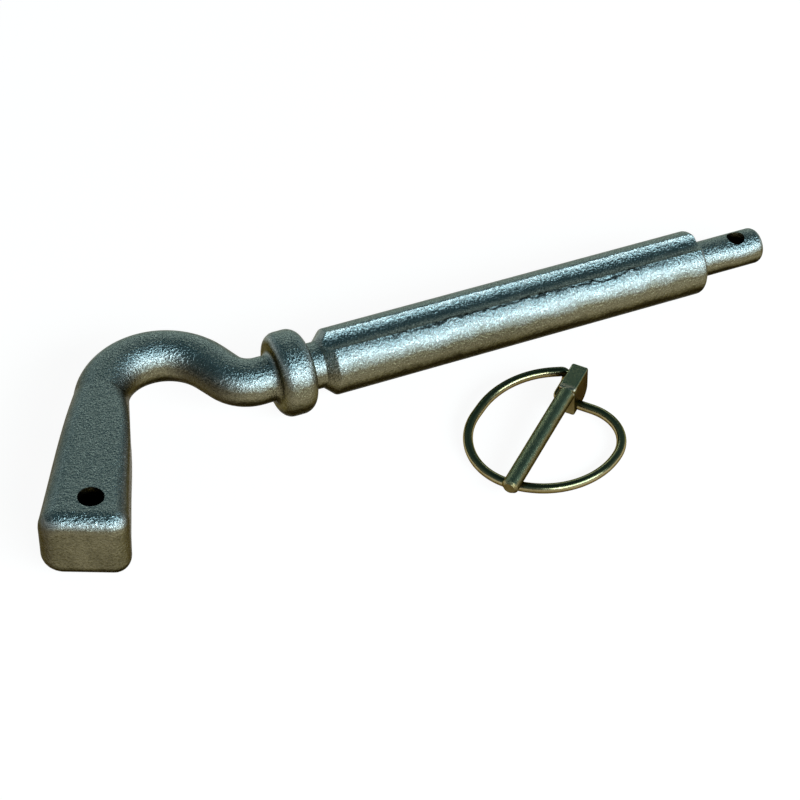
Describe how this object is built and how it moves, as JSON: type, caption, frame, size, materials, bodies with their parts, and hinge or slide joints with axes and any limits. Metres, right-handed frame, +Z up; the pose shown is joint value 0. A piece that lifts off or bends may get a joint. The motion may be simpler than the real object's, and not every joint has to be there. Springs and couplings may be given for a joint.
{
  "type": "locking pin",
  "caption": "Drop-forged locking pin with a swan-neck handle, a collar and a cross-drilled tail, lying on its side with its spring-ring linch pin taken out beside it.",
  "frame": {"origin": "on the floor under the middle of the bounding box of everything, as the pieces lie at rest", "axes": "+X along the shaft from the handle to the tail, +Z up from the floor, +Y completes the right-handed frame: the grip reaches towards -Y"},
  "size_m": [0.227, 0.0878, 0.0236],
  "materials": {
    "zinc_plated_forging": "bright zinc plate over a shot-blasted, rough forged skin",
    "linch_steel": "olive-gold passivated zinc, semi-bright",
    "ring_wire": "olive-gold passivated zinc on drawn spring wire, glossy"
  },
  "bodies": {
    "forging_and_ring": {"pin_forging": "zinc_plated_forging", "linch_ring": "ring_wire"},
    "linch_pin": {"linch_pin": "linch_steel"}
  },
  "joints": [
    {"name": "linch_hinge", "type": "hinge", "parent": "forging_and_ring", "child": "linch_pin", "pos_m": [0.03578, -0.01437, 0.00221], "axis": [-0.632, 0.7749, 0], "range_deg": [0, 100]}
  ]
}
